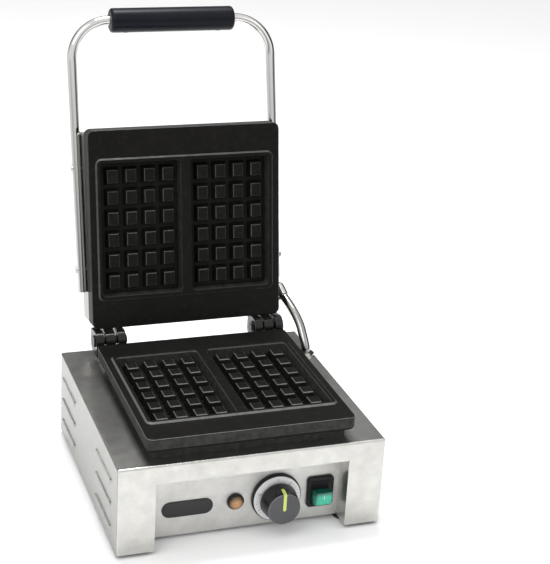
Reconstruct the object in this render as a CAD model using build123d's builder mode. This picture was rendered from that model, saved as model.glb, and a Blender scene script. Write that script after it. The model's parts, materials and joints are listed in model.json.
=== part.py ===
from build123d import *
from math import cos, radians, sin, tan
import os

os.makedirs("parts", exist_ok=True)

# Driving sizes in mm. X is across the front, Y runs to the back, Z is up, the feet stand on Z = 0.

# Housing of folded sheet
housing_width = 318.0
housing_depth = 308.0
housing_height = 109.0
foot_height = 5.0
foot_inset_x = 30.5
foot_inset_y = 32.0
sheet = 1.5
bend_radius = 2.5
recess_width = 230.0
brow_height = 23.0
panel_recess = 27.0
flange_width = 12.0

# Louvres in both side walls
louvre_length = 75.0
louvre_drop = 9.0
louvre_bulge = 1.6
louvre_slit = 0.8
louvre_pitch = 29.5
louvre_top = 86.0
louvre_columns = (66.0, 256.0)

# Baking plates
plate_width = 248.0
plate_depth = 250.5
plate_radius = 8.0
plate_front_gap = 9.0
plate_rise = 28.0
flange_thick = 17.2
skirt_inset = 8.0
upper_thick = 22.0
bead_width = 231.0
bead_length = 180.5
bead_rise = 2.0
bead_closed_gap = 0.6
well_width = 104.0
well_length = 169.5
well_pitch = 116.0
well_depth = 14.0
well_draft = 9.0
stud_pitch_x = 23.6
stud_pitch_y = 26.7
stud_width = 18.6
stud_length = 21.7
stud_height = 9.5
stud_draft = 17.0
stud_bevel = 0.9
pocket_width = 196.0
pocket_length = 198.0
pocket_depth = 9.5

# Hinge
open_angle = 100.0
hinge_back = 13.4
hinge_gap = 0.5
lug_width = 10.0
lug_inset = 0.5
lug_rear = 21.0
lug_drop = 16.5
lug_round = 8.0
knuckle_side = 3.0
knuckle_width = 12.0
knuckle_radius = 11.0
pin_radius = 5.0
pin_running = 0.05
pin_seat = 0.02
lug_screw_drop = 10.8
knuckle_screw_drop = 12.0
hinge_screw_radius = 2.0

# Lid cover and handle
cover_depth = 31.4
cover_hinge_inset = 4.0
cover_front_inset = 7.0
cover_bend = 3.0
arm_start = 43.0
arm_top = 333.0
arm_flat = 1.0
handle_depth = 27.0
handle_tilt = 4.0
bow_radius = 48.0
rod_diameter = 12.0
rod_wall = 1.5
grip_diameter = 30.4
grip_length = 160.0
arm_screw_rows = (72.0, 200.0)

# Controls
control_row = 40.0
dial_x = 37.0
dial_diameter = 60.0
scale_outer = 54.0
scale_inner = 26.0
bezel_thick = 5.0
scale_thick = 1.5
knob_diameter = 39.0
knob_proud = 5.0
knob_gap = 0.5
knob_edge = 1.0
pointer_width = 3.6
pointer_deep = 0.8
shaft_radius = 3.0
shaft_running = 0.05
switch_x = 91.8
switch_width = 33.0
switch_height = 39.5
switch_proud = 4.0
rocker_width = 22.5
rocker_half = 14.0
rocker_tilt = 10.0
lamp_x = -12.3
lamp_diameter = 20.0
badge_x = -69.8
badge_width = 61.0
badge_height = 20.0

# Heaters, hose and glands
element_diameter = 8.5
element_bend = 18.0
element_half = 84.0
clamp_overhang = 8.0
hose_diameter = 11.5
hose_clear = 0.3
hose_wall_gap = 10.5
cord_bore = 4.2
seat_clear = 0.05

# Derived places
lug_outer = plate_width / 2 - lug_inset - lug_width
knuckle_start = lug_outer - knuckle_side - knuckle_width
lug_inner = knuckle_start - knuckle_side - lug_width
lean = radians(180.0 - open_angle)
upper_face = 2.0 * bead_rise + bead_closed_gap
handle_reach = arm_top + bow_radius
grip_u = hinge_back + handle_reach * cos(radians(handle_tilt))
grip_w = upper_face + handle_depth + handle_reach * sin(radians(handle_tilt))
hinge_from_front = plate_front_gap + plate_depth + hinge_back
rear_reach = hinge_from_front + grip_u * cos(lean) + grip_w * sin(lean) + grip_diameter / 2
front_y = -(rear_reach - knob_proud) / 2
rear_y = front_y + housing_depth
mid_y = (front_y + rear_y) / 2
panel_y = front_y + panel_recess
leg_z = foot_height
deck_z = leg_z + housing_height
opening_half = recess_width / 2
opening_top = deck_z - brow_height
face_z = deck_z + plate_rise
plate_y = front_y + plate_front_gap + plate_depth / 2
hinge_y = front_y + hinge_from_front
hinge_z = face_z
wall_x = housing_width / 2 - sheet

# Planes: the front wall, the recessed panel, the two baking faces and the raised lid
front = Plane.XZ.offset(-front_y)
panel = Plane.XZ.offset(-panel_y)
rear = Plane(origin=(0, rear_y, 0), x_dir=(-1, 0, 0), z_dir=(0, 1, 0))
deck = Plane.XY.offset(deck_z)
lower_face = Plane(origin=(0, plate_y, face_z), x_dir=(1, 0, 0), z_dir=(0, 0, 1))
lid = Plane(origin=(0, hinge_y, hinge_z), x_dir=(1, 0, 0), z_dir=(0, -sin(lean), cos(lean)))
upper_centre = hinge_back + plate_depth / 2
upper_face_plane = Plane(
    origin=lid.from_local_coords((0, upper_centre, -upper_face)), x_dir=(1, 0, 0), z_dir=lid.z_dir
)
upper_back = -Plane(
    origin=lid.from_local_coords((0, upper_centre, -upper_face - upper_thick)),
    x_dir=(1, 0, 0),
    z_dir=lid.z_dir,
)
handle_plane = Plane(
    origin=lid.from_local_coords((0, hinge_back, -upper_face - handle_depth)),
    x_dir=(1, 0, 0),
    z_dir=lid.z_dir,
).rotated((-handle_tilt, 0, 0))
arm_x = plate_width / 2 + rod_diameter / 2

foot_points = [
    (side * (wall_x - foot_inset_x), mid_y + along * (housing_depth / 2 - foot_inset_y))
    for side in (-1, 1)
    for along in (-1, 1)
]
bottom_screw_points = [
    (side * (wall_x - flange_width / 2), mid_y + along) for side in (-1, 1) for along in (-78.0, 78.0)
] + [(side * 60.0, rear_y - sheet - flange_width / 2) for side in (-1, 1)]
plate_bolt_points = [
    (side * (plate_width / 2 - 17.0), plate_y + along * (plate_depth / 2 - 17.0))
    for side in (-1, 1)
    for along in (-1, 1)
]
clamp_points = [(-45.0, 20.0), (45.0, 20.0)]
cover_screw_points = [
    (side * (plate_width / 2 - 16.0), along * (plate_depth / 2 - 22.0))
    for side in (-1, 1)
    for along in (-1, 1)
]
cord_x = -105.0
cord_z = 34.0

# Hose route from the deck gland to the elbow on the lid
hose_x = wall_x - hose_wall_gap
hose_deck = Vector(hose_x, hinge_y - 36.9, deck_z)
hose_points = [
    Vector(hose_x, hinge_y - 36.9, deck_z - 10.0),
    Vector(hose_x, hinge_y - 36.9, deck_z + 11.0),
    Vector(plate_width / 2 + 17.0, hinge_y - 5.9, hinge_z + 8.0),
    Vector(plate_width / 2 + 11.0, hinge_y + 31.1, hinge_z + 29.5),
]
hose_end_dir = (hose_points[3] - hose_points[2]).normalized()
elbow_corner = hose_points[3] + hose_end_dir * 10.0


def baking_pattern(face):
    """Raised bead, two drafted wells and their rows of tapered studs on a plate's face."""
    with BuildSketch(face) as bead:
        RectangleRounded(bead_width, bead_length, plate_radius)
    extrude(bead.sketch, amount=bead_rise, taper=45)
    with BuildSketch(-face.offset(bead_rise)) as wells:
        with GridLocations(well_pitch, 0, 2, 1):
            RectangleRounded(well_width, well_length, plate_radius - 3)
    extrude(wells.sketch, amount=well_depth, taper=well_draft, mode=Mode.SUBTRACT)
    body_height = stud_height - stud_bevel
    shrink = 2 * body_height * tan(radians(stud_draft))
    floor = face.offset(bead_rise - well_depth)
    with BuildSketch(floor) as studs:
        with GridLocations(well_pitch, 0, 2, 1):
            with GridLocations(stud_pitch_x, stud_pitch_y, 4, 6):
                Rectangle(stud_width, stud_length)
    extrude(studs.sketch, amount=body_height, taper=stud_draft)
    with BuildSketch(floor.offset(body_height)) as caps:
        with GridLocations(well_pitch, 0, 2, 1):
            with GridLocations(stud_pitch_x, stud_pitch_y, 4, 6):
                Rectangle(stud_width - shrink, stud_length - shrink)
    extrude(caps.sketch, amount=stud_bevel, taper=45)


# One louvre: half of a drafted pillow, cut flat along its slit, facing +X
with BuildPart() as louvre:
    with BuildSketch(Plane.YZ):
        SlotOverall(louvre_length, 2 * louvre_drop)
    extrude(amount=louvre_bulge, taper=62)
    with BuildSketch(Plane.YZ):
        with Locations((0, louvre_drop)):
            Rectangle(2 * louvre_length, 2 * louvre_drop)
    extrude(amount=2 * louvre_bulge, mode=Mode.SUBTRACT)
louvre_rows = [
    (front_y + column, louvre_top - row * louvre_pitch) for column in louvre_columns for row in range(3)
]

# Housing shell: deck, walls, front legs, brow, recess returns and bottom flanges
with BuildPart() as shell:
    with BuildSketch(Plane(origin=(0, mid_y, leg_z))):
        Rectangle(housing_width, housing_depth)
    extrude(amount=housing_height)
    fillet(shell.edges().filter_by(Axis.Z), bend_radius)
    fillet(shell.faces().sort_by(Axis.Z)[-1].edges(), bend_radius)
    with BuildSketch(Plane(origin=(0, mid_y, leg_z))):
        RectangleRounded(housing_width - 2 * sheet, housing_depth - 2 * sheet, bend_radius - sheet)
    extrude(amount=housing_height - sheet, mode=Mode.SUBTRACT)
    with BuildSketch(front):
        with Locations((0, (leg_z + opening_top) / 2)):
            Rectangle(2 * opening_half, opening_top - leg_z)
    extrude(amount=-2 * sheet, mode=Mode.SUBTRACT)
    with BuildSketch(front):
        with Locations((0, (leg_z + opening_top + sheet) / 2)):
            Rectangle(2 * (opening_half + sheet), opening_top + sheet - leg_z)
        with Locations((0, (leg_z + opening_top) / 2)):
            Rectangle(2 * opening_half, opening_top - leg_z, mode=Mode.SUBTRACT)
    extrude(amount=-panel_recess)
    with BuildSketch(Plane(origin=(0, 0, leg_z + sheet))):
        with Locations((0, (panel_y + rear_y) / 2 + 2 * sheet)):
            Rectangle(2 * wall_x + 0.5, rear_y - panel_y - 5 * sheet)
        with Locations((0, (panel_y + rear_y) / 2 - flange_width)):
            Rectangle(2 * (wall_x - flange_width), rear_y - panel_y, mode=Mode.SUBTRACT)
    extrude(amount=sheet)
    with BuildSketch(Plane.XY.offset(leg_z)):
        with Locations(*bottom_screw_points):
            Circle(1.9 + seat_clear)
    extrude(amount=4 * sheet, mode=Mode.SUBTRACT)
    with BuildSketch(deck):
        with Locations((0, plate_y)):
            RectangleRounded(pocket_width, pocket_length, plate_radius)
        with Locations(*plate_bolt_points):
            Circle(3.0 + seat_clear)
        with Locations((hose_deck.X, hose_deck.Y)):
            Circle(8.0 + seat_clear)
    extrude(amount=-2 * sheet, mode=Mode.SUBTRACT)
    with BuildSketch(rear):
        with Locations((-cord_x, cord_z)):
            Circle(8.0 + seat_clear)
    extrude(amount=-2 * sheet, mode=Mode.SUBTRACT)
    with Locations(*[(housing_width / 2, y, z) for y, z in louvre_rows]):
        add(louvre.part)
    with Locations(*[(-housing_width / 2, y, z) for y, z in louvre_rows]):
        add(louvre.part, rotation=(0, 0, 180))
    with BuildSketch(Plane.YZ):
        with Locations(*[(y, z + louvre_slit / 2) for y, z in louvre_rows]):
            SlotOverall(louvre_length - 8, louvre_slit)
    extrude(amount=housing_width, both=True, mode=Mode.SUBTRACT)

# The shell is welded from three pieces: the wrap behind the panel's plane, the brow and the two front legs
brow_line = Plane.XY.offset(opening_top)
with BuildPart() as base_housing:
    add(shell.part)
    split(bisect_by=panel, keep=Keep.BOTTOM)
base_housing.part.label = "base_housing"
export_step(base_housing.part, "parts/base_housing.step")

with BuildPart() as front_brow:
    add(shell.part)
    split(bisect_by=panel, keep=Keep.TOP)
    split(bisect_by=brow_line, keep=Keep.TOP)
front_brow.part.label = "front_brow"
export_step(front_brow.part, "parts/front_brow.step")

with BuildPart() as front_legs:
    add(shell.part)
    split(bisect_by=panel, keep=Keep.TOP)
    split(bisect_by=brow_line, keep=Keep.BOTTOM)
front_legs.part.label = "front_legs"
export_step(front_legs.part, "parts/front_legs.step")

# Recessed control panel with its bottom flange
panel_top = opening_top + 8.0
with BuildPart() as control_panel:
    with BuildSketch(panel):
        with Locations((0, (leg_z + panel_top) / 2)):
            Rectangle(2 * (opening_half + 10), panel_top - leg_z)
    extrude(amount=-sheet)
    with BuildSketch(Plane.XY.offset(leg_z + sheet)):
        with Locations((0, panel_y + sheet + flange_width / 2 - 0.5)):
            Rectangle(2 * opening_half - 40, flange_width)
    extrude(amount=sheet)
    with BuildSketch(panel):
        with Locations((dial_x, control_row)):
            Circle(5.0 + seat_clear)
        with Locations((lamp_x, control_row)):
            Circle(6.0 + seat_clear)
        with Locations((switch_x, control_row)):
            Rectangle(rocker_width + 3.2 + 2 * seat_clear, 2 * rocker_half + 5 + 2 * seat_clear)
    extrude(amount=-2 * sheet, mode=Mode.SUBTRACT)
control_panel.part.label = "control_panel"
export_step(control_panel.part, "parts/control_panel.step")

# Bottom plate under the flanges, with screw holes
with BuildPart() as bottom_plate:
    with BuildSketch(Plane.XY.offset(leg_z)):
        with Locations((0, (panel_y + rear_y) / 2)):
            RectangleRounded(2 * wall_x - 0.4, rear_y - panel_y - 2 * sheet - 0.4, bend_radius)
        with Locations(*foot_points):
            Circle(2.1 + seat_clear, mode=Mode.SUBTRACT)
        with Locations(*bottom_screw_points):
            Circle(1.9 + seat_clear, mode=Mode.SUBTRACT)
    extrude(amount=sheet)
bottom_plate.part.label = "bottom_plate"
export_step(bottom_plate.part, "parts/bottom_plate.step")

with BuildPart() as bottom_screws:
    with BuildSketch(Plane.XY.offset(leg_z)):
        with Locations(*bottom_screw_points):
            Circle(3.6)
    extrude(amount=-1.8)
    with BuildSketch(Plane.XY.offset(leg_z)):
        with Locations(*bottom_screw_points):
            Circle(1.9)
    extrude(amount=8)
bottom_screws.part.label = "bottom_screws"
export_step(bottom_screws.part, "parts/bottom_screws.step")

# Rubber feet with a sunk screw each
with BuildPart() as rubber_feet:
    with BuildSketch(-Plane.XY.offset(leg_z)):
        with Locations(*[(x, -y) for x, y in foot_points]):
            Circle(15)
    extrude(amount=foot_height, taper=12)
    with BuildSketch(Plane.XY):
        with Locations(*foot_points):
            Circle(5)
    extrude(amount=2.6, mode=Mode.SUBTRACT)
    with BuildSketch(Plane.XY):
        with Locations(*foot_points):
            Circle(2.1 + seat_clear)
    extrude(amount=foot_height, mode=Mode.SUBTRACT)
rubber_feet.part.label = "rubber_feet"
export_step(rubber_feet.part, "parts/rubber_feet.step")

with BuildPart() as foot_screws:
    with BuildSketch(Plane.XY.offset(0.8)):
        with Locations(*foot_points):
            Circle(4.2)
    extrude(amount=1.8)
    with BuildSketch(Plane.XY.offset(2.6)):
        with Locations(*foot_points):
            Circle(2.1)
    extrude(amount=leg_z + sheet + 2.4)
foot_screws.part.label = "foot_screws"
export_step(foot_screws.part, "parts/foot_screws.step")

with BuildPart() as foot_nuts:
    with BuildSketch(Plane.XY.offset(leg_z + sheet)):
        with Locations(*foot_points):
            RegularPolygon(4.0, 6)
            Circle(2.1 + seat_clear, mode=Mode.SUBTRACT)
    extrude(amount=3)
foot_nuts.part.label = "foot_nuts"
export_step(foot_nuts.part, "parts/foot_nuts.step")

# Lower baking plate: flange, skirt, element pocket and pattern, with the hinge lugs screwed to its edge
lug_r = hinge_back - hinge_gap
stop_dir = Vector(cos(lean), sin(lean))
stop_z = (lug_r - lug_rear * stop_dir.X) / stop_dir.Y
lug_seat = Plane(
    origin=(0, hinge_y + 8.0, hinge_z - lug_screw_drop), x_dir=(-1, 0, 0), z_dir=(0, 1, 0)
)
lug_screw_points = [
    (side * (start + lug_width / 2), 0) for side in (-1, 1) for start in (lug_inner, lug_outer)
]
with BuildPart() as lower_plate:
    with BuildSketch(lower_face):
        RectangleRounded(plate_width, plate_depth, plate_radius)
    extrude(amount=-flange_thick)
    fillet(lower_plate.faces().sort_by(Axis.Z)[0].edges(), 5.0)
    fillet(lower_plate.faces().sort_by(Axis.Z)[-1].edges(), 1.2)
    with BuildSketch(deck):
        with Locations((0, plate_y)):
            RectangleRounded(plate_width - 2 * skirt_inset, plate_depth - 2 * skirt_inset, plate_radius)
            RectangleRounded(pocket_width, pocket_length, plate_radius, mode=Mode.SUBTRACT)
    extrude(amount=plate_rise - flange_thick + 6)
    baking_pattern(lower_face)
    with BuildSketch(deck):
        with Locations((0, plate_y)):
            RectangleRounded(pocket_width, pocket_length, plate_radius)
    extrude(amount=pocket_depth, mode=Mode.SUBTRACT)
    with BuildSketch(deck):
        with Locations(*plate_bolt_points):
            Circle(3.0 + seat_clear)
    extrude(amount=12, mode=Mode.SUBTRACT)
    with BuildSketch(deck.offset(pocket_depth)):
        with Locations(*[(x, plate_y + y) for x, y in clamp_points]):
            Circle(2.5 + seat_clear)
    extrude(amount=4, mode=Mode.SUBTRACT)
    with BuildSketch(lug_seat):
        with Locations(*lug_screw_points):
            Circle(hinge_screw_radius + seat_clear)
    extrude(amount=-8 - hinge_back - 9.5, mode=Mode.SUBTRACT)
lower_plate.part.label = "lower_plate"
export_step(lower_plate.part, "parts/lower_plate.step")

with BuildPart() as lower_lugs:
    for start in (lug_outer, lug_inner, -lug_outer - lug_width, -lug_inner - lug_width):
        with BuildSketch(Plane(origin=(start, hinge_y, hinge_z), x_dir=(0, 1, 0), z_dir=(1, 0, 0))):
            with BuildLine():
                Polyline(
                    (-hinge_back, -1.5), (-hinge_back, -lug_drop), (lug_rear - lug_round, -lug_drop)
                )
                RadiusArc((lug_rear - lug_round, -lug_drop), (lug_rear, -lug_drop + lug_round), -lug_round)
                Polyline(
                    (lug_rear, -lug_drop + lug_round),
                    (lug_rear, stop_z),
                    (lug_r * stop_dir.X, lug_r * stop_dir.Y),
                )
                ThreePointArc(
                    (lug_r * stop_dir.X, lug_r * stop_dir.Y),
                    (lug_r * cos(radians(130)), lug_r * sin(radians(130))),
                    (-lug_r, 0),
                )
                Polyline((-lug_r, 0), (-lug_r, -1.5), (-hinge_back, -1.5))
            make_face()
            Circle(pin_radius + pin_seat, mode=Mode.SUBTRACT)
        extrude(amount=lug_width)
    with BuildSketch(lug_seat):
        with Locations(*lug_screw_points):
            Circle(3.8)
    extrude(amount=lug_rear, mode=Mode.SUBTRACT)
    with BuildSketch(lug_seat):
        with Locations(*lug_screw_points):
            Circle(hinge_screw_radius + seat_clear)
    extrude(amount=-lug_rear - hinge_back, mode=Mode.SUBTRACT)
lower_lugs.part.label = "lower_lugs"
export_step(lower_lugs.part, "parts/lower_lugs.step")

with BuildPart() as lug_screws:
    with BuildSketch(lug_seat):
        with Locations(*lug_screw_points):
            Circle(3.5)
            RegularPolygon(1.7, 6, mode=Mode.SUBTRACT)
    extrude(amount=4)
    with BuildSketch(lug_seat):
        with Locations(*lug_screw_points):
            Circle(hinge_screw_radius)
    extrude(amount=-8 - hinge_back - 8.5)
lug_screws.part.label = "lug_screws"
export_step(lug_screws.part, "parts/lug_screws.step")

with BuildPart() as plate_bolts:
    with BuildSketch(deck.offset(-sheet)):
        with Locations(*plate_bolt_points):
            RegularPolygon(5.6, 6)
    extrude(amount=-4)
    with BuildSketch(deck.offset(-sheet)):
        with Locations(*plate_bolt_points):
            Circle(3.0)
    extrude(amount=sheet + 10)
plate_bolts.part.label = "plate_bolts"
export_step(plate_bolts.part, "parts/plate_bolts.step")

# Tubular elements: the same bent route on both plates
element_route = [
    (-30, -90), (-30, -38), (-element_half, -38), (-element_half, 80),
    (element_half, 80), (element_half, -38), (30, -38), (30, -90),
]
element_r = element_diameter / 2


def element(base):
    """Bent tubular heater lying on a plane, just clear of it."""
    with BuildLine(base.offset(element_r + seat_clear)) as route:
        FilletPolyline(*element_route, radius=element_bend)
    with BuildSketch(Plane(origin=route.line @ 0, z_dir=route.line % 0)) as section:
        Circle(element_r)
    sweep(section.sketch, path=route.line)


def clamp_bar(base):
    """Flat bar across the element's two long runs."""
    with BuildSketch(base.offset(element_diameter + 2 * seat_clear)) as bar:
        with Locations((0, clamp_points[0][1])):
            Rectangle(2 * (element_half + clamp_overhang), 18)
        with Locations(*clamp_points):
            Circle(2.5 + seat_clear, mode=Mode.SUBTRACT)
    extrude(bar.sketch, amount=2.5)


def clamp_screws(base, reach):
    """Hex screws that pull the bar on to the plate."""
    top = base.offset(element_diameter + 2 * seat_clear + 2.5)
    with BuildSketch(top) as heads:
        with Locations(*clamp_points):
            RegularPolygon(4.6, 6)
    extrude(heads.sketch, amount=3.2)
    with BuildSketch(top) as shanks:
        with Locations(*clamp_points):
            Circle(2.5)
    extrude(shanks.sketch, amount=-reach)


pocket_top = Plane(origin=(0, plate_y, deck_z + pocket_depth), x_dir=(-1, 0, 0), z_dir=(0, 0, -1))
with BuildPart() as lower_element:
    element(pocket_top)
lower_element.part.label = "lower_element"
export_step(lower_element.part, "parts/lower_element.step")

with BuildPart() as lower_clamp:
    clamp_bar(pocket_top)
lower_clamp.part.label = "lower_clamp"
export_step(lower_clamp.part, "parts/lower_clamp.step")

with BuildPart() as lower_clamp_screws:
    clamp_screws(pocket_top, element_diameter + 5.5)
lower_clamp_screws.part.label = "lower_clamp_screws"
export_step(lower_clamp_screws.part, "parts/lower_clamp_screws.step")

# Heat shield: a shallow tray under the deck opening
shield_drop = 8.0
with BuildPart() as heat_shield:
    with BuildSketch(deck.offset(-sheet)):
        with Locations((0, plate_y)):
            RectangleRounded(pocket_width - 2, pocket_length - 2, plate_radius)
            RectangleRounded(pocket_width - 4, pocket_length - 4, plate_radius - 1, mode=Mode.SUBTRACT)
    extrude(amount=-shield_drop)
    with BuildSketch(deck.offset(-sheet - shield_drop)):
        with Locations((0, plate_y)):
            RectangleRounded(pocket_width - 2, pocket_length - 2, plate_radius)
    extrude(amount=-1.0)
    with BuildSketch(deck.offset(-sheet)):
        with Locations((0, plate_y)):
            RectangleRounded(pocket_width + 8, pocket_length + 8, plate_radius)
            RectangleRounded(pocket_width - 4, pocket_length - 4, plate_radius - 1, mode=Mode.SUBTRACT)
    extrude(amount=-1.0)
    with BuildSketch(deck.offset(-sheet)):
        with Locations((24.0, plate_y - 78.0)):
            Circle(1.4)
    extrude(amount=-2 * shield_drop, mode=Mode.SUBTRACT)
heat_shield.part.label = "heat_shield"
export_step(heat_shield.part, "parts/heat_shield.step")

# Thermostat behind the panel, its shaft and its sensor
stat_depth = 30.0
stat_top = control_row + 18.0
stat_y = panel_y + sheet
with BuildPart() as thermostat_body:
    with BuildSketch(panel.offset(-sheet)):
        with Locations((dial_x, control_row)):
            RectangleRounded(40, 36, 4)
    extrude(amount=-stat_depth)
    with BuildSketch(panel.offset(-sheet)):
        with Locations((dial_x, control_row)):
            Circle(5.0)
    extrude(amount=sheet + 6.0)
    with BuildSketch(panel.offset(6.0)):
        with Locations((dial_x, control_row)):
            Circle(shaft_radius + shaft_running)
    extrude(amount=-20.0, mode=Mode.SUBTRACT)
thermostat_body.part.label = "thermostat_body"
export_step(thermostat_body.part, "parts/thermostat_body.step")

knob_back = bezel_thick + scale_thick + knob_gap
knob_front = panel_recess + knob_proud
knob_r = knob_diameter / 2
with BuildPart() as thermostat_shaft:
    with BuildSketch(panel.offset(-13.0)):
        with Locations((dial_x, control_row)):
            Circle(shaft_radius)
    extrude(amount=13.0 + knob_back + 14.0)
thermostat_shaft.part.label = "thermostat_shaft"
export_step(thermostat_shaft.part, "parts/thermostat_shaft.step")

sensor_z = deck_z + pocket_depth - 3.0 - seat_clear
with BuildPart() as sensor_bulb:
    with BuildLine() as capillary:
        FilletPolyline(
            (24.0, plate_y - 78.0, stat_top),
            (24.0, plate_y - 78.0, sensor_z),
            (12.0, plate_y - 78.0, sensor_z),
            radius=5.0,
        )
    with BuildSketch(Plane(origin=capillary.line @ 0, z_dir=capillary.line % 0)):
        Circle(1.0)
    sweep(path=capillary.line)
    with BuildSketch(Plane(origin=(16.0, plate_y - 78.0, sensor_z), x_dir=(0, 1, 0), z_dir=(-1, 0, 0))):
        Circle(3.0)
    extrude(amount=38.0)
sensor_bulb.part.label = "sensor_bulb"
export_step(sensor_bulb.part, "parts/sensor_bulb.step")

# Dial: black bezel, silver scale ring, knob and its pointer
with BuildPart() as dial_bezel:
    with BuildSketch(panel):
        with Locations((dial_x, control_row)):
            Circle(dial_diameter / 2)
            Circle(6.0, mode=Mode.SUBTRACT)
    extrude(amount=bezel_thick)
    fillet(dial_bezel.faces().sort_by(Axis.Y)[0].outer_wire().edges(), 1.5)
dial_bezel.part.label = "dial_bezel"
export_step(dial_bezel.part, "parts/dial_bezel.step")

with BuildPart() as dial_scale:
    with BuildSketch(panel.offset(bezel_thick)):
        with Locations((dial_x, control_row)):
            Circle(scale_outer / 2)
            Circle(scale_inner / 2, mode=Mode.SUBTRACT)
    extrude(amount=scale_thick)
    chamfer(dial_scale.faces().sort_by(Axis.Y)[0].outer_wire().edges(), 0.5)
dial_scale.part.label = "dial_scale"
export_step(dial_scale.part, "parts/dial_scale.step")

pointer_low = control_row - 1.0
with BuildPart() as control_knob:
    with BuildSketch(panel.offset(knob_back)):
        with Locations((dial_x, control_row)):
            Circle(knob_r)
    extrude(amount=knob_front - knob_back)
    chamfer(control_knob.faces().sort_by(Axis.Y)[0].edges(), knob_edge)
    with BuildSketch(panel.offset(knob_back)):
        with Locations((dial_x, control_row)):
            Circle(shaft_radius + pin_seat)
    extrude(amount=14.0 + pin_seat, mode=Mode.SUBTRACT)
    with BuildSketch(panel.offset(knob_front - pointer_deep)):
        with Locations((dial_x, pointer_low + (knob_r + 3.0) / 2)):
            Rectangle(pointer_width, knob_r + 3.0)
    extrude(amount=2 * pointer_deep, mode=Mode.SUBTRACT)
    with BuildSketch(panel.offset(knob_back + 8.0)):
        with Locations((dial_x, control_row + knob_r - pointer_deep + 2.0)):
            Rectangle(pointer_width, 4.0)
    extrude(amount=knob_front - knob_back, mode=Mode.SUBTRACT)
control_knob.part.label = "control_knob"
export_step(control_knob.part, "parts/control_knob.step")

pointer_proud = 0.15
with BuildPart() as knob_pointer:
    with BuildSketch(panel.offset(knob_front - pointer_deep)):
        with Locations((dial_x, (pointer_low + control_row + knob_r + pointer_proud) / 2)):
            Rectangle(pointer_width - 0.1, knob_r + 1.0 + pointer_proud - 0.1)
    extrude(amount=pointer_deep + pointer_proud)
    with BuildSketch(panel.offset(knob_back + 8.05)):
        with Locations((dial_x, control_row + knob_r - (pointer_deep - pointer_proud) / 2)):
            Rectangle(pointer_width - 0.1, pointer_deep + pointer_proud)
    extrude(amount=knob_front - knob_back - 8.05 + pointer_proud)
    chamfer(
        knob_pointer.edges().filter_by(Axis.X).group_by(Axis.Z)[-1].sort_by(Axis.Y)[0], knob_edge
    )
knob_pointer.part.label = "knob_pointer"
export_step(knob_pointer.part, "parts/knob_pointer.step")

# Rocker switch: housing with flange, rocker and its lens
pocket_half = rocker_half + 1.2
switch_mouth = Plane(origin=(switch_x, panel_y, control_row), x_dir=(1, 0, 0), z_dir=(0, -1, 0))
with BuildPart() as switch_housing:
    with BuildSketch(switch_mouth):
        RectangleRounded(switch_width, switch_height, 5.0)
    extrude(amount=switch_proud)
    fillet(switch_housing.faces().sort_by(Axis.Y)[0].edges(), 1.5)
    with BuildSketch(switch_mouth):
        Rectangle(rocker_width + 3.2, 2 * rocker_half + 5.0)
    extrude(amount=-22.0)
    with BuildSketch(switch_mouth.offset(switch_proud)):
        Rectangle(rocker_width + 0.7, 2 * pocket_half)
    extrude(amount=-switch_proud - 9.0, mode=Mode.SUBTRACT)
switch_housing.part.label = "switch_housing"
export_step(switch_housing.part, "parts/switch_housing.step")

# The rocker's section is drawn square to its pivot and tilted to the off position
rocker_section = Plane(
    origin=(switch_x - rocker_width / 2, panel_y - 1.0, control_row),
    x_dir=(0, cos(radians(rocker_tilt)), -sin(radians(rocker_tilt))),
    z_dir=(1, 0, 0),
)
rocker_edge = -3.5 - rocker_half * tan(radians(rocker_tilt))
with BuildPart() as switch_rocker:
    with BuildSketch(rocker_section):
        with BuildLine():
            Polyline(
                (-3.5, 0), (rocker_edge, rocker_half), (1, rocker_half), (6, rocker_half - 6),
                (6, 6 - rocker_half), (1, -rocker_half), (-1.2, -rocker_half), (-1.2, 0), (-3.5, 0),
            )
        make_face()
    extrude(amount=rocker_width)
switch_rocker.part.label = "switch_rocker"
export_step(switch_rocker.part, "parts/switch_rocker.step")

with BuildPart() as switch_lens:
    with BuildSketch(rocker_section):
        with BuildLine():
            Polyline((-3.5, 0), (-1.2, 0), (-1.2, -rocker_half), (rocker_edge, -rocker_half), (-3.5, 0))
        make_face()
    extrude(amount=rocker_width)
switch_lens.part.label = "switch_lens"
export_step(switch_lens.part, "parts/switch_lens.step")

# Pilot lamp and the bare badge place
lamp_mouth = Plane(origin=(lamp_x, panel_y, control_row), x_dir=(1, 0, 0), z_dir=(0, -1, 0))
with BuildPart() as lamp_bezel:
    with BuildSketch(lamp_mouth):
        Circle(lamp_diameter / 2)
    extrude(amount=4.0)
    chamfer(lamp_bezel.faces().sort_by(Axis.Y)[0].edges(), 1.2)
    with BuildSketch(lamp_mouth):
        Circle(6.0)
    extrude(amount=-20.0)
    with BuildSketch(lamp_mouth.offset(4.0)):
        Circle(7.4)
    extrude(amount=-3.0, mode=Mode.SUBTRACT)
lamp_bezel.part.label = "lamp_bezel"
export_step(lamp_bezel.part, "parts/lamp_bezel.step")

with BuildPart() as lamp_lens:
    with BuildSketch(lamp_mouth.offset(1.0)):
        Circle(7.4 - seat_clear)
    extrude(amount=5.5)
    fillet(lamp_lens.faces().sort_by(Axis.Y)[0].edges(), 2.2)
lamp_lens.part.label = "lamp_lens"
export_step(lamp_lens.part, "parts/lamp_lens.step")

with BuildPart() as badge_plate:
    with BuildSketch(panel):
        with Locations((badge_x, control_row - 1.0)):
            SlotOverall(badge_width, badge_height)
    extrude(amount=1.4)
    chamfer(badge_plate.faces().sort_by(Axis.Y)[0].edges(), 0.5)
badge_plate.part.label = "badge_plate"
export_step(badge_plate.part, "parts/badge_plate.step")

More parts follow.
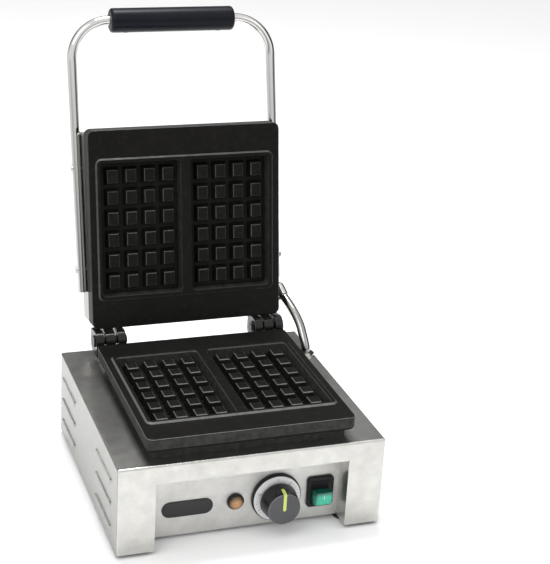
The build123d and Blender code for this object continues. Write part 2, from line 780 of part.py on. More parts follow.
# Mains side: terminal block, cord gland and its nut
with BuildPart() as terminal_block:
    with BuildSketch(Plane(origin=(cord_x + 40, rear_y - 55, leg_z + sheet))):
        Rectangle(48, 20)
    extrude(amount=16)
    with BuildSketch(Plane(origin=(cord_x + 40, rear_y - 55, leg_z + sheet + 16))):
        with GridLocations(15, 0, 3, 1):
            Circle(3)
    extrude(amount=-5, mode=Mode.SUBTRACT)
terminal_block.part.label = "terminal_block"
export_step(terminal_block.part, "parts/terminal_block.step")

cord_plane = Plane(origin=(cord_x, rear_y, cord_z), x_dir=(-1, 0, 0), z_dir=(0, 1, 0))
with BuildPart() as cord_gland:
    with BuildSketch(cord_plane):
        RegularPolygon(12.5, 6)
    extrude(amount=6)
    with BuildSketch(cord_plane.offset(6)):
        Circle(10)
    extrude(amount=11, taper=8)
    with BuildSketch(cord_plane):
        Circle(8.0)
    extrude(amount=-14)
    with BuildSketch(cord_plane.offset(20)):
        Circle(cord_bore)
    extrude(amount=-40, mode=Mode.SUBTRACT)
cord_gland.part.label = "cord_gland"
export_step(cord_gland.part, "parts/cord_gland.step")

with BuildPart() as gland_nut:
    with BuildSketch(cord_plane.offset(-sheet)):
        RegularPolygon(12.5, 6)
        Circle(8.0 + seat_clear, mode=Mode.SUBTRACT)
    extrude(amount=-5)
gland_nut.part.label = "gland_nut"
export_step(gland_nut.part, "parts/gland_nut.step")

# Hose gland on the deck, the hose, and the elbow on the lid
hose_mouth = Plane(origin=hose_deck, x_dir=(1, 0, 0), z_dir=(0, 0, 1))
hose_r = hose_diameter / 2
with BuildPart() as hose_gland:
    with BuildSketch(hose_mouth):
        Circle(11.0)
    extrude(amount=2.5)
    with BuildSketch(hose_mouth):
        Circle(8.0)
    extrude(amount=4.0)
    with BuildSketch(hose_mouth):
        Circle(8.0)
    extrude(amount=-10.0)
    with BuildSketch(hose_mouth.offset(10)):
        Circle(hose_r + hose_clear)
    extrude(amount=-30, mode=Mode.SUBTRACT)
hose_gland.part.label = "hose_gland"
export_step(hose_gland.part, "parts/hose_gland.step")

with BuildPart() as hose_nut:
    with BuildSketch(hose_mouth.offset(-sheet)):
        RegularPolygon(11.5, 6, rotation=30)
        Circle(8.0 + seat_clear, mode=Mode.SUBTRACT)
    extrude(amount=-4.5)
hose_nut.part.label = "hose_nut"
export_step(hose_nut.part, "parts/hose_nut.step")

with BuildPart() as conduit_hose:
    with BuildLine() as hose_route:
        FilletPolyline(*hose_points, radius=[14.0, 100.0])
    with BuildSketch(Plane(origin=hose_route.line @ 0, z_dir=hose_route.line % 0)):
        Circle(hose_r)
    sweep(path=hose_route.line)
conduit_hose.part.label = "conduit_hose"
export_step(conduit_hose.part, "parts/conduit_hose.step")

elbow_r = 8.0
elbow_base = Plane(
    origin=(plate_width / 2, elbow_corner.Y, elbow_corner.Z), x_dir=(0, 1, 0), z_dir=(1, 0, 0)
)
with BuildPart() as hose_elbow:
    with BuildSketch(Plane(origin=elbow_corner, z_dir=-hose_end_dir)):
        Circle(elbow_r)
    extrude(amount=15.0)
    with Locations(elbow_corner):
        Sphere(elbow_r)
    with BuildSketch(Plane(origin=elbow_corner, x_dir=(0, 1, 0), z_dir=(-1, 0, 0))):
        Circle(elbow_r)
    extrude(amount=elbow_corner.X - plate_width / 2)
    with BuildSketch(elbow_base):
        Circle(elbow_r + 2.5)
    extrude(amount=2.0)
    with BuildSketch(Plane(origin=elbow_corner, z_dir=-hose_end_dir).offset(9.5)):
        Circle(hose_r + hose_clear)
    extrude(amount=20.0, mode=Mode.SUBTRACT)
hose_elbow.part.label = "hose_elbow"
export_step(hose_elbow.part, "parts/hose_elbow.step")

# Hinge pins with a head at the outer lug and a ring at the inner lug
with BuildPart() as hinge_pins:
    for side in (-1, 1):
        axle = Plane(origin=(0, hinge_y, hinge_z), x_dir=(0, 1, 0), z_dir=(side, 0, 0))
        with BuildSketch(axle.offset(lug_inner - 3.0)):
            Circle(pin_radius)
        extrude(amount=lug_outer + lug_width - lug_inner + 3.0)
        with BuildSketch(axle.offset(lug_outer + lug_width)):
            Circle(pin_radius + 2.5)
        extrude(amount=2.0)
hinge_pins.part.label = "hinge_pins"
export_step(hinge_pins.part, "parts/hinge_pins.step")

with BuildPart() as pin_clips:
    for side in (-1, 1):
        axle = Plane(origin=(0, hinge_y, hinge_z), x_dir=(0, 1, 0), z_dir=(side, 0, 0))
        with BuildSketch(axle.offset(lug_inner - 1.6)):
            Circle(pin_radius + 3.0)
            Circle(pin_radius + pin_seat, mode=Mode.SUBTRACT)
        extrude(amount=1.5)
pin_clips.part.label = "pin_clips"
export_step(pin_clips.part, "parts/pin_clips.step")

# Upper baking plate in its raised place, with the middle hinge knuckles screwed to its edge
knuckle_seat = Plane(
    origin=lid.from_local_coords((0, 5.0, -knuckle_screw_drop)), x_dir=(1, 0, 0), z_dir=-lid.y_dir
)
knuckle_points = [(side * (knuckle_start + knuckle_width / 2), 0) for side in (-1, 1)]
with BuildPart() as upper_plate:
    with BuildSketch(upper_face_plane):
        RectangleRounded(plate_width, plate_depth, plate_radius)
    extrude(amount=-upper_thick)
    fillet(upper_plate.faces().sort_by(Axis(upper_face_plane.origin, lid.z_dir))[-1].edges(), 1.2)
    baking_pattern(upper_face_plane)
    with BuildSketch(upper_back):
        with Locations(*clamp_points):
            Circle(2.5 + seat_clear)
        with Locations(*cover_screw_points):
            Circle(2.0 + seat_clear)
    extrude(amount=-4, mode=Mode.SUBTRACT)
    with BuildSketch(knuckle_seat):
        with Locations(*knuckle_points):
            Circle(hinge_screw_radius + seat_clear)
    extrude(amount=5 - hinge_back - 10.5, mode=Mode.SUBTRACT)
upper_plate.part.label = "upper_plate"
export_step(upper_plate.part, "parts/upper_plate.step")

with BuildPart() as upper_knuckles:
    for start in (knuckle_start, -knuckle_start - knuckle_width):
        knuckle = Plane(origin=(start, hinge_y, hinge_z), x_dir=lid.y_dir, z_dir=(1, 0, 0))
        with BuildSketch(knuckle):
            Circle(knuckle_radius)
            with Locations((hinge_back - 1.0, -upper_face - 8.4)):
                Rectangle(2.0, 13.6)
            make_hull()
        extrude(amount=knuckle_width)
        with BuildSketch(knuckle):
            Circle(pin_radius + pin_running)
        extrude(amount=knuckle_width, mode=Mode.SUBTRACT)
    with BuildSketch(knuckle_seat):
        with Locations(*knuckle_points):
            Circle(3.5)
    extrude(amount=2 * knuckle_radius, mode=Mode.SUBTRACT)
    with BuildSketch(knuckle_seat):
        with Locations(*knuckle_points):
            Circle(hinge_screw_radius + seat_clear)
    extrude(amount=-hinge_back, mode=Mode.SUBTRACT)
upper_knuckles.part.label = "upper_knuckles"
export_step(upper_knuckles.part, "parts/upper_knuckles.step")

with BuildPart() as knuckle_screws:
    with BuildSketch(knuckle_seat):
        with Locations(*knuckle_points):
            Circle(3.2)
            RegularPolygon(1.6, 6, mode=Mode.SUBTRACT)
    extrude(amount=3.5)
    with BuildSketch(knuckle_seat):
        with Locations(*knuckle_points):
            Circle(hinge_screw_radius)
    extrude(amount=5 - hinge_back - 9.5)
knuckle_screws.part.label = "knuckle_screws"
export_step(knuckle_screws.part, "parts/knuckle_screws.step")

with BuildPart() as upper_element:
    element(upper_back)
upper_element.part.label = "upper_element"
export_step(upper_element.part, "parts/upper_element.step")

with BuildPart() as upper_clamp:
    clamp_bar(upper_back)
upper_clamp.part.label = "upper_clamp"
export_step(upper_clamp.part, "parts/upper_clamp.step")

with BuildPart() as upper_clamp_screws:
    clamp_screws(upper_back, element_diameter + 5.5)
upper_clamp_screws.part.label = "upper_clamp_screws"
export_step(upper_clamp_screws.part, "parts/upper_clamp_screws.step")

# Lid cover: a deep tray on the plate's back
cover_length = plate_depth - cover_hinge_inset - cover_front_inset
cover_mid = (cover_front_inset - cover_hinge_inset) / 2
with BuildPart() as lid_cover:
    with BuildSketch(upper_back):
        with Locations((0, cover_mid)):
            Rectangle(plate_width, cover_length)
    extrude(amount=cover_depth)
    fillet(lid_cover.edges().filter_by(Axis((0, 0, 0), upper_back.z_dir)), cover_bend)
    fillet(lid_cover.faces().sort_by(Axis(upper_back.origin, upper_back.z_dir))[-1].edges(), cover_bend)
    with BuildSketch(upper_back):
        with Locations((0, cover_mid)):
            RectangleRounded(plate_width - 2 * sheet, cover_length - 2 * sheet, cover_bend - sheet)
    extrude(amount=cover_depth - sheet, mode=Mode.SUBTRACT)
    with BuildSketch(upper_back.offset(cover_depth)):
        with Locations(*cover_screw_points):
            Circle(2.0 + seat_clear)
    extrude(amount=-2 * sheet, mode=Mode.SUBTRACT)
    for side in (-1, 1):
        for row in arm_screw_rows:
            with BuildSketch(
                Plane(
                    origin=handle_plane.from_local_coords((side * (arm_x + rod_diameter), row, 0)),
                    x_dir=lid.y_dir,
                    z_dir=(side, 0, 0),
                )
            ):
                Circle(2.0 + seat_clear)
            extrude(amount=-3 * rod_diameter, mode=Mode.SUBTRACT)
lid_cover.part.label = "lid_cover"
export_step(lid_cover.part, "parts/lid_cover.step")

with BuildPart() as cover_screws:
    with BuildSketch(upper_back.offset(cover_depth)):
        with Locations(*cover_screw_points):
            Circle(4.0)
    extrude(amount=2.4, taper=20)
    with BuildSketch(upper_back.offset(cover_depth)):
        with Locations(*cover_screw_points):
            Circle(2.0)
    extrude(amount=-cover_depth - 3.5)
cover_screws.part.label = "cover_screws"
export_step(cover_screws.part, "parts/cover_screws.step")

with BuildPart() as insulation_pad:
    with BuildSketch(upper_back.offset(cover_depth - sheet)):
        with Locations((0, cover_mid)):
            Rectangle(plate_width - 60, cover_length - 60)
    extrude(amount=-12)
insulation_pad.part.label = "insulation_pad"
export_step(insulation_pad.part, "parts/insulation_pad.step")

# Handle: one bent tube whose two arms lie along the lid cover's sides
arm_seats = [
    Plane(
        origin=handle_plane.from_local_coords((side * (arm_x + rod_diameter / 2 - arm_flat), row, 0)),
        x_dir=lid.y_dir,
        z_dir=(side, 0, 0),
    )
    for side in (-1, 1)
    for row in arm_screw_rows
]
with BuildPart() as handle_tube:
    with BuildLine(handle_plane) as bow:
        FilletPolyline(
            (-arm_x, arm_start), (-arm_x, handle_reach), (arm_x, handle_reach), (arm_x, arm_start),
            radius=bow_radius,
        )
    with BuildSketch(Plane(origin=bow.line @ 0, z_dir=bow.line % 0)):
        Circle(rod_diameter / 2)
        Circle(rod_diameter / 2 - rod_wall, mode=Mode.SUBTRACT)
    sweep(path=bow.line)
    for seat in arm_seats:
        with BuildSketch(seat):
            Circle(4.5)
        extrude(amount=2 * arm_flat, mode=Mode.SUBTRACT)
        with BuildSketch(seat):
            Circle(2.0 + seat_clear)
        extrude(amount=-rod_diameter, mode=Mode.SUBTRACT)
handle_tube.part.label = "handle_tube"
export_step(handle_tube.part, "parts/handle_tube.step")

with BuildPart() as handle_screws:
    for seat in arm_seats:
        with BuildSketch(seat):
            Circle(4.2)
        extrude(amount=2.2, taper=20)
        with BuildSketch(seat):
            Circle(2.0)
        extrude(amount=arm_flat - rod_diameter - sheet - 5)
handle_screws.part.label = "handle_screws"
export_step(handle_screws.part, "parts/handle_screws.step")

# Grip on the rod's straight run, with two set screws below
grip_mid = handle_plane.from_local_coords((0, handle_reach, 0))
grip_screw_x = 60.0
grip_under = Plane(origin=grip_mid, x_dir=(1, 0, 0), z_dir=-handle_plane.y_dir)
with BuildPart() as handle_grip:
    with BuildSketch(Plane(origin=grip_mid, x_dir=lid.y_dir, z_dir=(1, 0, 0))):
        Circle(grip_diameter / 2)
    extrude(amount=grip_length / 2, both=True)
    fillet(handle_grip.faces().filter_by(Axis.X).edges(), 4.0)
    with BuildSketch(Plane(origin=grip_mid, x_dir=lid.y_dir, z_dir=(1, 0, 0))):
        Circle(rod_diameter / 2 + seat_clear)
    extrude(amount=grip_length, both=True, mode=Mode.SUBTRACT)
    with BuildSketch(grip_under):
        with GridLocations(2 * grip_screw_x, 0, 2, 1):
            Circle(2.5 + seat_clear)
    extrude(amount=grip_diameter, mode=Mode.SUBTRACT)
handle_grip.part.label = "handle_grip"
export_step(handle_grip.part, "parts/handle_grip.step")

with BuildPart() as grip_screws:
    with BuildSketch(grip_under.offset(rod_diameter / 2 + 0.1)):
        with GridLocations(2 * grip_screw_x, 0, 2, 1):
            Circle(2.5)
    extrude(amount=grip_diameter / 2 - rod_diameter / 2 + 0.4)
grip_screws.part.label = "grip_screws"
export_step(grip_screws.part, "parts/grip_screws.step")
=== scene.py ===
import bpy, bmesh, json, math
from mathutils import Matrix, Vector


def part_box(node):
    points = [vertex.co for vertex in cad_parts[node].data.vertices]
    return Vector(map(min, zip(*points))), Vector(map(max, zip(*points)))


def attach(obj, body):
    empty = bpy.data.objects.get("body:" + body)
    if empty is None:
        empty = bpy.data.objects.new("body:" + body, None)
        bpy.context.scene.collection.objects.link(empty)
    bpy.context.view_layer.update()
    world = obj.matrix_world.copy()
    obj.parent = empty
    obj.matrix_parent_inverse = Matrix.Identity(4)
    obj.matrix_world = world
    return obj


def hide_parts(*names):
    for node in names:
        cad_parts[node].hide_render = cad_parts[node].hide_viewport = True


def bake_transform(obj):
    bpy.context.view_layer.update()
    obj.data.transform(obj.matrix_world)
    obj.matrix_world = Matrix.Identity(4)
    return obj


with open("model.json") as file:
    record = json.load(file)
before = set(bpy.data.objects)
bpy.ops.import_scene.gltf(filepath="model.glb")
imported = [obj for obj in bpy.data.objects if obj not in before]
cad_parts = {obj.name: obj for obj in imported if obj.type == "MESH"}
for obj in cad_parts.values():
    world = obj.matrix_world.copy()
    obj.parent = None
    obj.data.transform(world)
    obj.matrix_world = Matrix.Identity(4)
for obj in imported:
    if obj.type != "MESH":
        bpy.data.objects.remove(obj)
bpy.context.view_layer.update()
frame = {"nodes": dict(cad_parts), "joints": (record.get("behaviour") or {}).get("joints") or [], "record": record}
nodes = frame["nodes"]
scene = bpy.context.scene

# Places taken from the solids, in metres
brow_low, brow_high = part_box("front_brow")
front_y, deck_z = brow_low.y, brow_high.z
joint_places = {joint["name"]: Vector(joint["pos_m"]) for joint in frame["joints"]}
hinge, rocker_pivot = joint_places["lid_hinge"], joint_places["switch_rock"]
housing_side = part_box("base_housing")[1].x
gland_low, gland_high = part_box("hose_gland")
dial_low, dial_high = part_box("dial_scale")
dial = Vector(((dial_low.x + dial_high.x) / 2, dial_low.y, (dial_low.z + dial_high.z) / 2))
knob_low, knob_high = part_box("control_knob")
knob_long = knob_high.y - knob_low.y
lamp = sum(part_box("lamp_lens"), Vector()) / 2
lamp_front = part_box("lamp_bezel")[0].y
rocker = sum(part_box("switch_rocker"), Vector()) / 2

# Sizes of the pieces made here, in metres, with angles in degrees
outer_walls = 0.14  # side faces further out than this are the housing's outer walls, which get painted shade
lid_lean, bead_rise = 10, 0.002
# width of the painted highlight band along the plates' edges
highlight_band = 0.0009
sharp_from = 32
hose_radius = 0.00575
hose_heights = (-0.010, 0.002, 0.011)  # over the deck
hose_bow, hose_end = Vector((0.145, -0.0045, 0.015)), Vector((0.135, 0.0311, 0.0295))  # from the hinge
first_number, number_step, number_count = 40, 50, 6
tick_step, tick_count = 10, 26
long_tick, short_tick = (0.0236, 0.0003), (0.0247, 0.00018)  # inner radius and half width
tick_outer, tick_proud, tick_sunk = 0.0262, 0.00006, 0.00002
figure_size, figure_radius = 0.0026, 0.0219
zero_size, zero_radius = 0.0034, 0.0243
print_thick = 0.00003
ring_inner, ring_outer, ring_bevel = 0.0131, 0.0284, 0.0005
louvre_columns, louvre_rows = (0.066, 0.256), 3
louvre_top, louvre_pitch = 0.08625, 0.0295
slit_fill_size, louvre_sunk = (0.0018, 0.0670, 0.0006), 0.0012
skirt_radius, skirt_rise, knob_taper, rim_round = 0.0225, 0.0045, 0.0028, 0.0017
skirt_curve = ((0.0035, 0.0), (0.0017, 0.0012), (0.0005, 0.0028), (0.0, 0.0038))  # inset and rise
pointer_start, pointer_half, pointer_end_half = -0.0020, 0.0019, 0.0004
pointer_sunk, pointer_proud = 0.0003, 0.00014
dome_radius, dome_rise, dome_seat, dome_sunk = 0.0086, 0.0030, 0.0004, 0.001
rocker_tilt, rocker_face = 10, 0.0035
lens_half, lens_inset, lens_round = 0.01125, 0.0012, 0.0009
lens_back, lens_top, lens_low = -0.0012, (-0.0170, 0.0028), (-0.0125, -0.0134)  # y and z from the pivot
lens_back_top, lens_back_low = 0.0035, -0.0139
rib_heights, rib_long_half = (0.0065, 0.0092, 0.0119), 0.0095
rib_foot, rib_crest, rib_sunk, rib_proud = 0.0007, 0.0004, 0.0003, 0.0008
rib_inset, rib_round = 0.0004, 0.00015
mark_size, mark_share, mark_lift = 0.006, 0.42, 0.00005


class Sock:
    """A shader socket that can stand in a sum: a + 2 * b lays the Math nodes."""

    def __init__(self, tree, out):
        self.tree, self.out = tree, out

    def math(self, op, a, b=0.0, clamp=False):
        node = self.tree.nodes.new("ShaderNodeMath")
        node.operation, node.use_clamp = op, clamp
        for socket, value in zip(node.inputs, (a, b)):
            if isinstance(value, Sock):
                self.tree.links.new(value.out, socket)
            else:
                socket.default_value = value
        return Sock(self.tree, node.outputs[0])

    def __add__(self, o): return self.math("ADD", self, o)
    def __sub__(self, o): return self.math("SUBTRACT", self, o)
    def __rsub__(self, o): return self.math("SUBTRACT", o, self)
    def __mul__(self, o): return self.math("MULTIPLY", self, o)
    def __truediv__(self, o): return self.math("DIVIDE", self, o)
    def __rtruediv__(self, o): return self.math("DIVIDE", o, self)
    def __pow__(self, o): return self.math("POWER", self, o)
    def __abs__(self): return self.math("ABSOLUTE", self)
    def __gt__(self, o): return self.math("GREATER_THAN", self, o)
    def __lt__(self, o): return self.math("LESS_THAN", self, o)
    __radd__, __rmul__ = __add__, __mul__

    def clamp(self): return self.math("ADD", self, 0.0, True)


class Finish:
    """One material: a Principled shader whose constants are set on its sockets."""

    def __init__(self, name, **constants):
        self.material = bpy.data.materials.new(name)
        self.material.use_nodes = True
        self.tree = self.material.node_tree
        self.shader = self.tree.nodes["Principled BSDF"]
        for key, value in constants.items():
            self.shader.inputs[key.replace("_", " ")].default_value = value

    def node(self, kind, settings=None, sockets=None, out=0):
        """A node with its settings set first, then the values or links of its sockets, by name or number."""
        made = self.tree.nodes.new(kind)
        for key, value in (settings or {}).items():
            setattr(made, key, value)
        for key, value in (sockets or {}).items():
            if isinstance(value, Sock):
                self.tree.links.new(value.out, made.inputs[key])
            else:
                made.inputs[key].default_value = value
        return Sock(self.tree, made.outputs[out])

    def split(self, vector):
        parts = self.node("ShaderNodeSeparateXYZ", None, {0: vector})
        return [Sock(self.tree, out) for out in parts.out.node.outputs]

    def at(self):
        return self.split(self.node("ShaderNodeTexCoord", out="Object"))

    def normal(self):
        return self.split(self.node("ShaderNodeTexCoord", out="Normal"))

    def place(self, scale=(1, 1, 1)):
        spot = self.node("ShaderNodeTexCoord", out="Object")
        return self.node("ShaderNodeMapping", None, {"Vector": spot, "Scale": scale})

    def noise(self, scale, detail=3.0, stretch=(1, 1, 1), rough=0.55):
        return self.node("ShaderNodeTexNoise", None, {
            "Vector": self.place(stretch), "Scale": scale, "Detail": detail, "Roughness": rough})

    def mix(self, factor, a, b):
        """Colour between a and b: inputs 6 and 7 and output 2 are the Mix node's colours."""
        a, b = (c if isinstance(c, Sock) else (*c, 1) for c in (a, b))
        return self.node("ShaderNodeMix", {"data_type": "RGBA"}, {0: factor, 6: a, 7: b}, out=2)

    def feed(self, **links):
        for key, value in links.items():
            self.tree.links.new(value.out, self.shader.inputs[key.replace("_", " ")])

    def bump(self, height, strength, distance):
        self.feed(Normal=self.node("ShaderNodeBump", None, {
            "Height": height, "Strength": strength, "Distance": distance}))


def shaded(tone, share):
    """A colour at a share of its strength."""
    return [min(1, c * share) for c in tone]


def along(parts, way):
    """How far three sockets, a place or a normal, reach along a direction."""
    return parts[0] * way[0] + parts[1] * way[1] + parts[2] * way[2]


def brushed(name, tone, rough, grain=0.04, wall_from=0.0):
    """Brushed steel: grain runs across on fronts and tops, and along on sides, whose outer walls get painted
    shade, a darker tone.
    """
    f = Finish(name, Metallic=1.0)
    side = abs(f.normal()[0]) > 0.7
    wall = side * (abs(f.at()[0]) > wall_from)
    hair_across, hair_along = f.noise(900, 2, (0.02, 1, 1)), f.noise(900, 2, (1, 0.02, 1))
    streak = hair_across * (1 - side) + hair_along * side
    cloud, blotch = f.noise(9, 4), f.noise(70, 5)
    shade = ((streak * 0.14 + cloud * 0.36 + blotch * 0.5) * 2.0 - 0.5).clamp()
    plain = f.mix(shade, shaded(tone, 0.78), shaded(tone, 1.18))
    # painted shade: the outer side walls get a darker copy of the tone, standing for less light on them
    painted_shade_wall = f.mix(shade, shaded(tone, 0.5), shaded(tone, 0.68))
    f.feed(Base_Color=f.mix(wall, plain, painted_shade_wall),
           Roughness=rough + (streak - 0.5) * grain + (cloud - 0.5) * 0.06 + (blotch - 0.5) * 0.04)
    f.bump(streak, 0.02, 0.0002)
    return f.material


def cast_iron(name, facing=None, gloss=0.08, rough=0.4, level=0.0, bright=0.11):
    """Seasoned cast iron, near black, with painted highlights: bright metallic bevels towards the baking side and
    bright bands on the sides' edges at the face; the sides have a raw skin, paler in part as painted light.
    """
    f = Finish(name, Specular_IOR_Level=gloss, Coat_Weight=gloss, Coat_Roughness=rough * 0.4)
    grain, cloud, worn = f.noise(900, 4, rough=0.7), f.noise(22, 5), f.noise(140, 4)
    tone = f.mix((cloud * 1.6 - 0.45).clamp(), (0.0042, 0.0042, 0.0036), (0.0085, 0.008, 0.0065))
    tone = f.mix((worn * 2 - 1.05).clamp(), tone, (0.018, 0.017, 0.015))
    skin = rough + cloud * 0.14 + grain * 0.12
    if facing:
        toward = along(f.normal(), facing)
        # painted highlight on the bevels that face the baking side
        bevel = (toward > 0.5) * (toward < 0.9) * (0.3 + worn * 0.6)
        wall = abs(toward) < 0.2
        # raw cast skin on the sides, made paler in part as painted light on them
        raw_skin_and_light = (wall * (worn * 1.5 + grain * 0.8 - 0.45)).clamp()
        depth = along(f.at(), facing) - level
        # painted highlight: the bevels and a thin band along the sides' edges at the face
        painted_highlight = (bevel + wall * (abs(depth) < highlight_band) * 0.9).clamp()
        tone = f.mix(raw_skin_and_light, tone, (0.04, 0.04, 0.038))
        f.feed(Base_Color=f.mix(painted_highlight, tone, (bright, bright, bright * 0.96)), Metallic=painted_highlight * 0.8,
               Roughness=skin - painted_highlight * 0.2)
    else:
        f.feed(Base_Color=tone, Roughness=skin)
    f.bump(grain * 0.7 + worn * 0.3, 0.22, 0.0006)
    return f.material


def chrome(name, tone=(0.66, 0.65, 0.635), rough=0.06):
    """Polished chrome with a few smudges."""
    f = Finish(name, Metallic=1.0)
    smudge, fine = f.noise(26, 5), f.noise(700, 2)
    f.feed(Base_Color=f.mix(smudge, shaded(tone, 0.93), tone),
           Roughness=rough + (smudge * 1.5 - 0.6).clamp() * 0.12 + fine * 0.02)
    return f.material


def moulded(name, tone, rough, grain=0.2, scale=1500, **more):
    """Moulded plastic, paint or rubber with a fine grain and a little dust."""
    f = Finish(name, **more)
    fine, cloud = f.noise(scale, 2), f.noise(30, 4)
    f.feed(Base_Color=f.mix((cloud * 1.4 - 0.2).clamp(), shaded(tone, 0.82), shaded(tone, 1.25)),
           Roughness=rough + (cloud - 0.5) * 0.16 + (fine - 0.5) * 0.08)
    f.bump(fine, grain, 0.0003)
    return f.material


def lens(name, tone, rim_shade, middle, half, power, painted_glow=0.0):
    """Coloured lens with painted light: bright round its middle, painted shade dark towards its rim, and flecks of
    painted glint; a glow, where one is given, is painted light too.
    """
    f = Finish(name, Coat_Weight=0.5, Coat_Roughness=0.04, Roughness=0.2, Emission_Strength=painted_glow)
    x, _, z = f.at()
    rim = (abs(x - middle[0]) / half[0]) ** power + (abs(z - middle[1]) / half[1]) ** power
    glint_fleck = f.node("ShaderNodeTexVoronoi", {"feature": "F1"}, {"Vector": f.place(), "Scale": 900.0})
    cloud = f.noise(420, 3)
    # painted light bright in the middle, painted shade at the rim, painted glints from the flecks
    lit = ((1.1 - rim) * (0.3 + glint_fleck * 0.7 + cloud * 0.5)).clamp() ** 1.4
    tint = f.mix(lit, rim_shade, tone)
    f.feed(Base_Color=tint, Emission_Color=tint)
    return f.material


def knob_finish(name):
    """Turned knob: glossy dark skirt, finely turned grey face and a painted highlight, a bright band on the edge
    between them.
    """
    f = Finish(name, Specular_IOR_Level=0.4)
    front = f.normal()[1]
    face = front < -0.9
    # painted highlight on the rounding between face and skirt
    edge = (front < -0.3) * (front > -0.9)
    fine, cloud = f.noise(1400, 2), f.noise(40, 4)
    tone = f.mix(face, (0.009, 0.009, 0.011), (0.075, 0.076, 0.082))
    dusty = f.mix((cloud * 0.5).clamp(), tone, (0.03, 0.03, 0.033))
    f.feed(Base_Color=f.mix(edge, dusty, (0.13, 0.13, 0.14)),
           Roughness=0.26 + face * 0.2 + (fine - 0.5) * 0.1 + (cloud - 0.5) * 0.1)
    f.bump(fine, 0.12, 0.0003)
    return f.material


upper_way = (0.0, -math.cos(math.radians(lid_lean)), math.sin(math.radians(lid_lean)))
upper_plate = nodes["upper_plate"]
upper_level = max((upper_plate.matrix_world @ v.co).dot(Vector(upper_way))
                  for v in upper_plate.data.vertices) - bead_rise
steel, low_gloss = (0.565, 0.56, 0.535), {"Specular_IOR_Level": 0.25}
finishes = {
    "stainless": brushed("stainless", steel, 0.3),
    "galvanised": brushed("galvanised", (0.5, 0.51, 0.52), 0.45, 0.2),
    "plate_iron": cast_iron("hinge_iron", None, 0.22, 0.12),
    # bright: the tone of the painted highlights on each plate
    "lower_iron": cast_iron("lower_iron", (0, 0, 1), level=hinge.z, bright=0.24),
    "upper_iron": cast_iron("upper_iron", upper_way, level=upper_level),
    "black_steel": moulded("black_steel", (0.008, 0.008, 0.009), 0.35, 0.1, **low_gloss),
    "chrome": chrome("chrome"),
    "hose_chrome": chrome("hose_chrome", (0.33, 0.325, 0.315), 0.14),
    "grip_black": moulded("grip_black", (0.005, 0.006, 0.01), 0.34, 0.1, Specular_IOR_Level=0.14),
    "trim_black": moulded("trim_black", (0.007, 0.007, 0.008), 0.38, **low_gloss),
    "badge_black": moulded("badge_black", (0.01, 0.01, 0.011), 0.3, 0.05, Specular_IOR_Level=0.45),
    "knob_black": knob_finish("knob_black"),
    "pointer_green": moulded("pointer_green", (0.55, 0.64, 0.14), 0.35, 0.05),
    "dial_silver": moulded("dial_silver", (0.72, 0.72, 0.725), 0.36, 0.05),
    # both lenses carry painted light and shade; the green one also glows as painted light
    "lens_amber": lens("lens_amber", (0.5, 0.26, 0.095), (0.03, 0.012, 0.006),
                       (lamp.x + 0.0003, lamp.z - 0.0008), (0.0092, 0.0092), 2),
    "lens_green": lens("lens_green", (0.03, 0.46, 0.29), (0.002, 0.09, 0.06),
                       (rocker.x + 0.001, rocker.z - 0.0065), (0.0125, 0.0105), 4, 0.12),
    "foot_rubber": moulded("foot_rubber", (0.02, 0.02, 0.02), 0.7, 0.3, **low_gloss),
    "fasteners": brushed("fasteners", (0.55, 0.55, 0.54), 0.34, 0.2),
    "heater_sheath": brushed("heater_sheath", (0.28, 0.26, 0.24), 0.45, 0.2),
    "stat_case": moulded("stat_case", (0.6, 0.57, 0.5), 0.5),
    "fibre_pad": moulded("fibre_pad", (0.75, 0.74, 0.7), 0.9, 0.5, 600),
    # painted light: the panel's steel is paler than the housing's, to lift the shade in its recess
    "panel_steel_painted_light": brushed("panel_steel_painted_light", (0.61, 0.605, 0.585), 0.5, wall_from=outer_walls),
    # leg steel: the housing's steel, with its painted shade kept to the legs' outer walls
    "leg_steel": brushed("leg_steel", steel, 0.3, wall_from=outer_walls),
    # pale steel for the strips in the louvre slits, painted light over their shade
    "pale_slit_fill": brushed("pale_slit_fill", (0.7, 0.695, 0.675), 0.65),
    "print_white": moulded("print_white", (0.75, 0.75, 0.74), 0.45, 0.05),
    "print_black": moulded("print_black", (0.012, 0.012, 0.012), 0.45, 0.05),
}
own_finish = {"control_panel": "panel_steel_painted_light", "front_legs": "leg_steel", "lower_plate": "lower_iron",
              "upper_plate": "upper_iron"}
for part in frame["record"]["subparts"]:
    mesh = nodes[part["node"]].data
    mesh.materials.clear()
    mesh.materials.append(finishes[own_finish.get(part["node"], part["material_slot"])])


def piece(name, mesh, slot, body, finish=None):
    """A new object with its finish and slot, which rides a body if one is named."""
    obj = bpy.data.objects.new(name, mesh)
    scene.collection.objects.link(obj)
    obj.data.materials.clear()
    obj.data.materials.append(finishes[finish or slot])
    if body:
        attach(obj, body)
    return obj


def curve_mesh(curve):
    """The mesh that a curve or a text makes."""
    obj = bpy.data.objects.new(curve.name, curve)
    scene.collection.objects.link(obj)
    bpy.context.view_layer.update()
    mesh = bpy.data.meshes.new_from_object(obj.evaluated_get(bpy.context.evaluated_depsgraph_get()))
    bpy.data.objects.remove(obj)
    return mesh


def smooth_mesh(name, bm):
    """The finished mesh of a bmesh: smooth, with its steep edges sharp."""
    bmesh.ops.recalc_face_normals(bm, faces=bm.faces)
    for face in bm.faces:
        face.smooth = True
    for edge in bm.edges:
        edge.smooth = len(edge.link_faces) == 2 and edge.calc_face_angle() < math.radians(sharp_from)
    mesh = bpy.data.meshes.new(name)
    bm.to_mesh(mesh)
    bm.free()
    return mesh


